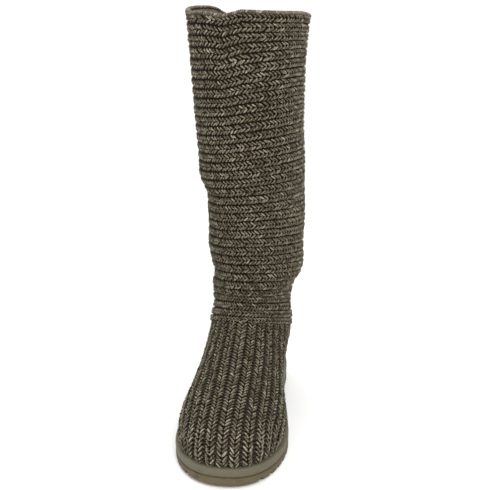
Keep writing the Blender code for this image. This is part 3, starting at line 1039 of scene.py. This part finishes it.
@dataclass
class KnitUpper:
    """The knit: a recessed ground, rows of stitches round the shaft, ribs along the foot, and the edges."""

    form: UpperForm
    rows: int = 35
    stitches: int = 95
    row_leg: LegShape = LegShape((0.53, 0.06), (0.44, 0.05), 0.34, (0.158, 0.014), (-0.00035, 0.00024))
    rib_leg: LegShape = LegShape((0.60, 0.05), (0.50, 0.04), 0.39, (0.110, 0.009), (-0.00145, 0.00020))
    leg_bow: float = 0.00050
    row_round: float = 0.0042
    rib_round: float = 0.00115
    lift: float = 0.022
    slump: float = 0.006
    rib_stitch: float = 0.0037
    rib_share: float = 0.78
    rib_limits: Pair = (0.0062, 0.0125)
    rib_power: float = 1.6
    most_ribs: int = 30
    ridge_climb: float = 0.55
    drop_starts: Pair = (-0.49, -0.33)
    heel_start: float = 0.381
    loop_reach: float = 0.62
    loop_bow: float = 0.0007
    loop_rise: float = 0.0006
    loop_depth: float = 0.0023
    loop_yarn: float = 0.00095
    ground_depth: float = 0.0017
    edge_half: float = 0.0019
    edge_rise: float = 0.0020
    edge_seat: float = 0.55
    edge_slant: float = 0.0017
    edge_yarn: float = 0.00145
    shaft_hairs: int = 4600
    foot_hairs: int = 2000
    hair_radius: float = 0.00007
    hair_length: Pair = (0.0018, 0.0042)
    hair_stand: Pair = (0.25, 0.75)
    hair_bend: float = 0.35
    hair_root: float = 0.0003
    seed: int = 7
    legs: YarnLegs = YarnLegs()
    random: np.random.Generator = field(init=False)
    yarn: Material = field(init=False)

    def __post_init__(self) -> None:
        """Starts the seeded source of small irregularities and makes the yarn."""
        self.random = np.random.default_rng(self.seed)
        self.yarn = HeatherYarn().material()

    def knitted(
        self, name: str, centre: Array, out: Array, radius: Array, tones: Pair = (0.5, 0.23),
        yarn: Material | None = None,
    ) -> None:
        """Makes and dresses a piece of stitches.

        Args:
            name, centre, out, radius: as YarnLegs.piece has them.
            tones: mean tone of the legs and how far they stray from it.
            yarn: the finish, where it isn't the plain yarn.
        """
        shade = np.clip(tones[0] + tones[1] * self.random.normal(size=centre.shape[:-2]), 0.0, 1.0)
        dressed(self.legs.piece(name, centre, out, radius, shade, yarn or self.yarn), "upper")

    @staticmethod
    def leg_run() -> tuple[Array, Array, Array]:
        """Way along a leg from -1 to 1, the two sides of a stitch, and the share of the radius on that way."""
        t = np.linspace(-1.0, 1.0, 6)
        return t, np.array([[1.0], [-1.0]]), 1 - 0.40 * np.abs(t) ** 2.6

    def course(self, row: Array, angle: Array) -> Array:
        """Place of a row of the shaft at an angle.

        The table gives the row's height, and soft waves lift it on the inner side below the collar and let it
        slump above the ankle.

        Args:
            row: number of rows below it, with a fraction inside a row.
            angle: angles round the boot.

        Returns:
            Places up the shaft.
        """
        climb = hermite(*COURSES, np.asarray(row, float) / self.rows)
        lift = self.lift * np.sin(angle - 0.5) * plateau((0.20, 0.60), (0.84, 0.99), climb)
        slump = self.slump * np.sin(2 * angle + 0.8) * plateau((0.05, 0.25), (0.85, 1.0), climb)
        return self.form.place_at(np.clip(climb + lift + slump, 0.0, 1.0))

    def spaced(self, row: float, phase: float) -> Array:
        """Angles of equally spaced stitches round a row, by the length of the row's curve.

        Args:
            row: number of rows below it.
            phase: where the first stitch starts, in stitches.

        Returns:
            The stitches' angles, rising.
        """
        fine = np.linspace(0.0, 2 * math.pi, 721)
        points = self.form.plain(Part.SHAFT, fine, self.course(row, fine))
        run = arc_length(points)
        return np.interp((np.arange(self.stitches) + phase) / self.stitches * run[-1], run, fine)

    def shaft_rows(self, name: str, first: int, last: int) -> None:
        """Rows of sideways stitches: each stitch has an upper and a lower leg that meet at its right end.

        A leg runs from the row's edge to its middle, keeps to the surface, and bows out by the square of the
        way from its centre. A row is round across: its edges lie deeper by the square of the way from its
        middle.

        Args:
            name: the piece's name.
            first: its lowest row.
            last: the row after its highest.
        """
        rows = np.arange(first, last)
        phase = 0.35 * np.sin(rows * 0.9)
        angle = np.stack([self.spaced(row + 0.5, p % 1.0) for row, p in zip(rows, phase)])
        number = np.broadcast_to(rows[:, None] + 0.5, angle.shape)
        point, above, below = (
            self.form.plain(Part.SHAFT, angle, self.course(number + rise, angle)) for rise in (0.0, 0.5, -0.5)
        )
        pitch = np.linalg.norm(above - below, axis=-1)[..., None, None]
        step = np.linalg.norm(np.roll(point, -1, axis=1) - point, axis=-1)[..., None, None]
        turn = np.mod(np.roll(angle, -1, axis=1) - angle, 2 * math.pi)[..., None, None]
        leg, (t, side, taper) = self.row_leg, self.leg_run()
        stray = self.random.normal(0.0, 1.0, (5, *angle.shape, 2, 1))
        snug = 1 + 0.06 * np.sin(angle) + 0.05 * np.sin(3 * angle + 0.7 * number)
        along_row = strayed(leg.reach, stray[0]) * t + 0.08 * stray[2]
        off_middle = strayed(leg.off_middle, stray[1]) - leg.slant * t
        across_row = side * snug[..., None, None] / 2 * off_middle
        leg_angle = angle[..., None, None] + along_row * turn
        place = self.course(number[..., None, None] + across_row, leg_angle)
        spot, _, _, out = self.form.on(Part.SHAFT, leg_angle, place)
        n = strayed(leg.height, stray[3]) - self.row_round * across_row**2 + self.leg_bow * (1 - t**2)
        radius = np.sqrt(step * pitch) * strayed(leg.radius, stray[4]) * taper
        self.knitted(name, spot + n[..., None] * out, out[..., 3, :], radius)

    def rib_number(self, angle: Array, place: Array) -> Array:
        """Distance of a point of the foot from its ridge, in ribs.

        It joins the sideways distance and the drop below the ridge by a power mean, and divides by the ribs'
        width there. At the toe the drop counts for nothing, so the ribs run straight down over it. Round the
        heel the way backwards is added to the reach from the heel's middle, so the ribs run level at the back.

        Args:
            angle: angles round the boot.
            place: places up the foot.

        Returns:
            The distances.
        """
        form, sole = self.form, self.form.sole
        point = form.plain(Part.FOOT, angle, place)
        fine = np.linspace(0.12, 1.0, 200)
        ridge = form.plain(Part.FOOT, np.zeros(200), fine)
        y = point[..., 1]
        top = np.interp(y, ridge[:, 1], ridge[:, 2]) + self.ridge_climb * np.maximum(0.0, y - ridge[-1, 1])
        counts = smoothstep(*(sole.length * share for share in self.drop_starts), y)
        sideways = np.abs(point[..., 0] - np.interp(y, ridge[:, 1], ridge[:, 0]))
        behind = np.maximum(0.0, y - self.heel_start * sole.length)
        sideways = np.hypot(sideways, behind) + behind
        drop = np.maximum(top - point[..., 2], 0.0) * counts
        distance = (sideways**self.rib_power + drop**self.rib_power) ** (1 / self.rib_power)
        reach = (y + sole.length / 2) / form.instep_reach
        return distance / hermite(*RIBS, reach)

    def rib_spacing(self, angle: Array, place: Array) -> Array:
        """True distance between neighbouring ribs at points of the foot: one over the rib number's slope.

        The slope over the surface comes from the slopes over angle and place and the surface's own metric.

        Args:
            angle: angles round the boot.
            place: places up the foot.

        Returns:
            The distances, kept within the limits of a rib.
        """
        step = 2e-3
        low, high = np.maximum(place - step, 0.0), np.minimum(place + step, 1.0)

        def slopes(value: Surface) -> tuple[Array, Array]:
            """Differences of a value round the foot and up it."""
            return value(angle + step, place) - value(angle - step, place), value(angle, high) - value(angle, low)

        turn, rise = slopes(lambda a, p: self.form.plain(Part.FOOT, a, p))
        by_turn, by_rise = slopes(self.rib_number)
        tt, tr, rr = (np.sum(u * v, axis=-1) for u, v in ((turn, turn), (turn, rise), (rise, rise)))
        slope = (by_turn**2 * rr - 2 * by_turn * by_rise * tr + by_rise**2 * tt) / np.maximum(tt * rr - tr**2, 1e-18)
        return np.clip(1 / np.sqrt(np.maximum(slope, 1.0)), *self.rib_limits)

    def rib_lines(self, offset: float) -> list[tuple[Array, Array]]:
        """Angle and place of points along lines of the foot, from the seam down to the sole's edge.

        Args:
            offset: 0 for the ribs, 0.5 for the grooves between them.

        Returns:
            One pair of arrays for each line, found by inverting the rib number along each ring.
        """
        places = np.linspace(1.0, 0.0, 321)
        fine = np.linspace(0.0, math.pi, 361)
        lines = [] if offset else [(np.full(len(places), 1e-3), places)]
        for sign in (1.0, -1.0):
            numbers = self.rib_number(sign * fine[None, :], places[:, None])
            numbers = np.maximum.accumulate(numbers, axis=1)
            for rib in np.arange(offset or 1.0, self.most_ribs):
                there = (numbers[:, -1] > rib) & (numbers[:, 0] < rib)
                if there.sum() < 3:
                    continue
                angle = np.array([np.interp(rib, row, fine) for row in numbers[there]])
                place = places[there]
                if numbers[0, -1] < rib:
                    angle = np.append(math.pi, angle)
                    place = np.append(np.interp(rib, numbers[:, -1], places), place)
                lines.append((sign * angle, place))
        return lines

    def along_ribs(self, offset: float) -> tuple[Array, ...]:
        """Equally spaced stitches along the foot's ribs or grooves.

        Args:
            offset: 0 for the ribs, 0.5 for the grooves between them.

        Returns:
            Point, forward, sideways and outward direction, and the distance between ribs, at each stitch.
        """
        spots, ways = [], []
        for angle, place in self.rib_lines(offset):
            points = self.form.plain(Part.FOOT, angle, place)
            run = arc_length(points)
            count = int(run[-1] / self.rib_stitch)
            if count < 2:
                continue
            stops = np.linspace(0.12, count - 0.35, count) / count * run[-1]
            ahead, behind = (read_off(stops + step, run, points.T) for step in (0.001, -0.001))
            spots.append(read_off(stops, run, (angle, place)))
            ways.append(unit(ahead - behind))
        spot, ahead = np.concatenate(spots), np.concatenate(ways)
        point, _, _, out = self.form.on(Part.FOOT, spot[:, 0], spot[:, 1])
        ahead = unit(ahead - out * np.sum(ahead * out, axis=-1, keepdims=True))
        return point, ahead, np.cross(out, ahead), out, self.rib_spacing(spot[:, 0], spot[:, 1])

    def foot_ribs(self) -> None:
        """Ribs of stitches along the foot: the two legs of a stitch meet towards the toe."""
        point, ahead, across, out, spacing = self.along_ribs(0.0)
        width = spacing[:, None, None] * self.rib_share
        half = width / 2
        leg, (t, side, taper) = self.rib_leg, self.leg_run()
        stray = self.random.normal(0.0, 1.0, (5, len(point), 2, 1))
        a = self.rib_stitch * strayed(leg.reach, stray[0]) * t + 0.0003 * stray[1]
        b = side * half * (strayed(leg.off_middle, stray[2]) - leg.slant * t)
        n = strayed(leg.height, stray[3]) + self.rib_round * (1 - (b / half) ** 2) + self.leg_bow * (1 - t**2)
        radius = width * strayed(leg.radius, stray[4]) * taper
        self.knitted("foot_stitches", moved(point, (a, ahead), (b, across), (n, out)), out[:, None], radius)

    def foot_grooves(self) -> None:
        """Purl loops in the grooves between the ribs: short arches across, well below the ribs' crests, in a darker
        copy of the yarn that is painted shade.
        """
        point, ahead, across, out, spacing = self.along_ribs(0.5)
        t = np.linspace(-1.0, 1.0, 5)
        stray = self.random.normal(0.0, 1.0, (3, len(point), 1))
        a = self.loop_bow * (1 - t**2) + 0.0002 * stray[0]
        b = (spacing * (self.loop_reach - self.rib_share / 2))[:, None] * t
        n = -self.loop_depth + self.loop_rise * (1 - t**2) + 0.00015 * stray[1]
        radius = (self.loop_yarn + 0.00006 * stray[2]) * (1 - 0.25 * t**2)
        centre = moved(point, (a, ahead), (b, across), (n, out))
        # Painted shade: the purl loops take a darker copy of the yarn and low tones, standing in for the shade in
        # the grooves.
        recessed = HeatherYarn(
            name="heather_wool_painted_shade", dark="#1a150f", low="#302920", high="#494136", pale="#6a6152"
        ).material()
        self.knitted("foot_purl_loops", centre, out, radius, (0.15, 0.15), recessed)

    def collar_edge(self) -> None:
        """The bound edge: slanted loops of yarn that lie over the wall, each half of an ellipse across it."""
        count = self.stitches * 2
        angle = np.linspace(0.0, 2 * math.pi, count, endpoint=False)
        point, around, up, out = self.form.on(Part.SHAFT, angle, np.ones(count))
        t = np.linspace(-1.0, 1.0, 8)
        theta = math.pi * (t + 1) / 2
        stray = self.random.normal(0.0, 1.0, (2, count, 1))
        n = -self.form.wall / 2 + self.edge_half * np.cos(theta) + 0.0001 * stray[0]
        b = self.edge_rise * (np.sin(theta) - self.edge_seat)
        a = self.edge_slant * t + 0.0002 * stray[1]
        radius = self.edge_yarn * (1 - 0.3 * np.abs(t) ** 3)
        centre = moved(point, (a, around), (b, up), (n, out))
        self.knitted("collar_edge", centre, unit(up + 0.2 * out), radius, (0.5, 0.2))

    def fuzz(self) -> None:
        """Loose fibres of the wool: thin hairs that start in the stitches and bend over as they stand off."""
        random, t = self.random, np.linspace(0.0, 1.0, 4)[:, None]
        spots = []
        for part, count, most in ((Part.SHAFT, self.shaft_hairs, 1.0), (Part.FOOT, self.foot_hairs, 0.97)):
            angle = random.uniform(0.0, 2 * math.pi, count)
            spots.append(self.form.on(part, angle, random.uniform(0.02, most, count)))
        point, around, up, out = (np.concatenate(group)[:, None] for group in zip(*spots))
        each = (len(point), 1, 1)
        turn = random.uniform(0.0, 2 * math.pi, each)
        lie = np.cos(turn) * around + np.sin(turn) * up
        length = random.uniform(*self.hair_length, each)
        stand = random.uniform(*self.hair_stand, each)
        bend = random.normal(0.0, self.hair_bend, each) * np.cross(out, lie)
        away = t * lie + t**2 * bend + (stand * t - 0.25 * t**2) * out
        centre = point + length * away + self.hair_root * out
        radius = self.hair_radius * (1 - 0.5 * t[:, 0])
        shade = random.uniform(0.45, 1.0, len(point))
        hairs = YarnLegs(sides=3).piece("wool_fuzz", centre, out[:, 0], radius, shade, self.yarn)
        dressed(hairs, "upper")

    def sheet(self, part: Part, angle: Array, place: Array, depth: Array | float) -> Array:
        """Rings of the folded surface, moved along its normal by depth."""
        point, _, _, out = self.form.on(part, angle, place)
        return point + out * np.asarray(depth)[..., None]

    def ground(self) -> None:
        """One closed wall under the stitches, round from its outer side over the collar to its inner side.

        A row is a ring of the surface moved in by its own depth. Inside, shallow rows of purl stand out as a
        cosine over the rows of the shaft.
        """
        angle = np.linspace(0.0, 2 * math.pi, 180, endpoint=False)
        foot = np.linspace(0.0, 1.0, 44)[:, None]
        number = np.linspace(0.0, self.rows, self.rows * 5 + 1)[:, None]
        course = self.course(number, angle)
        purl = -self.form.wall - 0.0002 + 0.0004 * np.cos(2 * math.pi * number)
        rings = np.concatenate([
            self.sheet(Part.FOOT, angle, foot, -self.ground_depth),
            self.sheet(Part.SHAFT, angle, course, -self.ground_depth),
            self.sheet(Part.SHAFT, angle, course, purl)[::-1],
            self.sheet(Part.FOOT, angle, foot, -self.form.wall)[::-1],
        ])
        quads = wrapped_quads(len(rings), len(angle), True)
        # The ground's dark finish is painted shade between the stitches; its paler inside is painted light.
        piece = mesh_piece("knit_ground", rings.reshape(-1, 3), [quads], WoolGround().material())
        point_attribute(piece, "inside", np.repeat(np.arange(len(rings)) >= len(rings) // 2, len(angle)))
        dressed(piece, "upper")

    def build(self) -> None:
        """Builds the ground, the rows, the ribs, the bound edge and the fuzz."""
        self.ground()
        self.shaft_rows("shaft_stitches_low", 0, 12)
        self.shaft_rows("shaft_stitches_mid", 12, 24)
        self.shaft_rows("shaft_stitches_high", 24, self.rows)
        self.foot_ribs()
        self.foot_grooves()
        self.collar_edge()
        self.fuzz()


@dataclass
class Studio:
    """Pale floor, soft light and the camera at the photograph's angle."""

    focal_px: float = 890.0
    image_px: float = 490.0
    yaw: float = 4.6
    aim: float = 8.7
    pitch: float = 15.45
    height: float = 0.395
    distance: float = 0.794
    sideways: float = 0.064
    sensor_mm: float = 36.0
    sky_strength: float = 0.80
    boot_middle: tuple[float, float, float] = (0.0, 0.03, 0.2)

    def floor(self) -> None:
        """A pale matt floor that runs up into a low backdrop all round, in a quarter circle."""
        flat, radius, top, columns = 2.2, 0.9, 1.5, 96
        bend = np.linspace(0.0, math.pi / 2, 25)
        out = np.append(flat + radius * np.sin(bend), flat + radius)[:, None]
        z = np.append(radius * (1 - np.cos(bend)), top)[:, None]
        turn = np.linspace(0.0, 2 * math.pi, columns, endpoint=False)
        grid = np.stack(np.broadcast_arrays(out * np.cos(turn), out * np.sin(turn), z), axis=-1).reshape(-1, 3)
        material, _, _ = new_material("pale_paper_sweep", Base_Color=linear("#fafaf9"), Roughness=0.9)
        quads = wrapped_quads(len(out), columns, False)[:, ::-1]
        sweep = mesh_piece("floor_sweep", grid, [quads, np.arange(columns)[None, :]], material)

    def light(self, name: str, place: tuple[float, float, float], size: float, power: float) -> None:
        """A square soft light that faces the middle of the boot.

        Args:
            name: the light's name.
            place: where it stands.
            size: edge of its square.
            power: its strength in watts.
        """
        lamp = bpy.data.lights.new(name, "AREA")
        lamp.size, lamp.energy = size, power
        made = bpy.data.objects.new(name, lamp)
        bpy.context.scene.collection.objects.link(made)
        way = np.array(self.boot_middle) - np.array(place)
        turn = math.atan2(-way[0], way[1])
        made.location = place
        made.rotation_euler = (math.pi / 2 + math.atan2(way[2], math.hypot(way[0], way[1])), 0.0, turn)

    def build(self) -> None:
        """Builds the floor, the lights, the world and the camera."""
        self.floor()
        self.light("key_softbox", (0.7, -1.55, 1.9), 1.1, 32.0)
        self.light("fill_softbox", (-1.6, -0.9, 1.1), 1.4, 10.0)
        self.light("top_softbox", (0.0, 0.5, 2.3), 1.6, 14.0)
        world = bpy.data.worlds.new("studio")
        world.use_nodes = True
        sky = world.node_tree.nodes["Background"]
        sky.inputs["Color"].default_value = linear("#ffffff")
        sky.inputs["Strength"].default_value = self.sky_strength
        bpy.context.scene.world = world
        data = bpy.data.cameras.new("photo_camera")
        data.sensor_width = self.sensor_mm
        data.lens = self.sensor_mm * self.focal_px / self.image_px
        camera = bpy.data.objects.new("photo_camera", data)
        a = math.radians(self.yaw)
        camera.location = (
            math.sin(a) * self.distance + math.cos(a) * self.sideways,
            -math.cos(a) * self.distance + math.sin(a) * self.sideways,
            self.height,
        )
        camera.rotation_euler = (math.pi / 2 - math.radians(self.pitch), 0.0, math.radians(self.aim))
        bpy.context.scene.collection.objects.link(camera)
        bpy.context.scene.camera = camera
        bpy.context.scene.view_settings.view_transform = "Standard"


def main() -> None:
    """Builds the boot, then the studio."""
    logging.basicConfig(level=logging.INFO, format="%(name)s: %(message)s")
    upper = UpperForm()
    Sole(upper.sole, upper).build()
    KnitUpper(upper).build()
    Studio().build()


if __name__ == "__main__":
    main()
